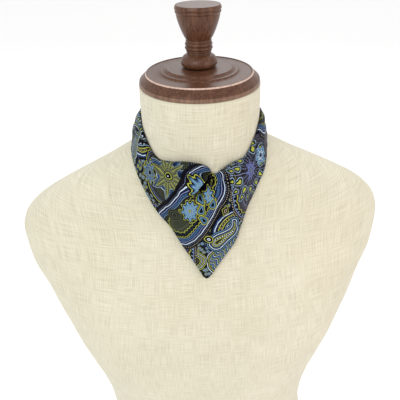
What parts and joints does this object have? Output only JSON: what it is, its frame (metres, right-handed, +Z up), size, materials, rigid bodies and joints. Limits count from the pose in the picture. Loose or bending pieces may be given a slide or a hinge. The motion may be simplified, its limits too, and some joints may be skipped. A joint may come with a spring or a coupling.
{
  "type": "silk cravat on a dress form",
  "caption": "Wide cravat wound round the neck of a limbless dress form, with a turned-over front blade, a dimple under the top edge and a pointed end, below a turned cap and finial.",
  "frame": {"origin": "middle of the dress form's flat base", "axes": "+Z up, through the form and its finial; the wearer's front faces -Y; +X is the wearer's left"},
  "size_m": [0.427, 0.254, 0.7742],
  "materials": {
    "silk": "satin",
    "linen": "matte",
    "wood": "satin"
  },
  "bodies": {
    "root": {"fall": "silk", "under_blade": "silk", "stretch_right": "silk", "nape": "silk", "stretch_left": "silk", "form_body": "linen", "cap": "wood", "finial": "wood"}
  },
  "joints": []
}
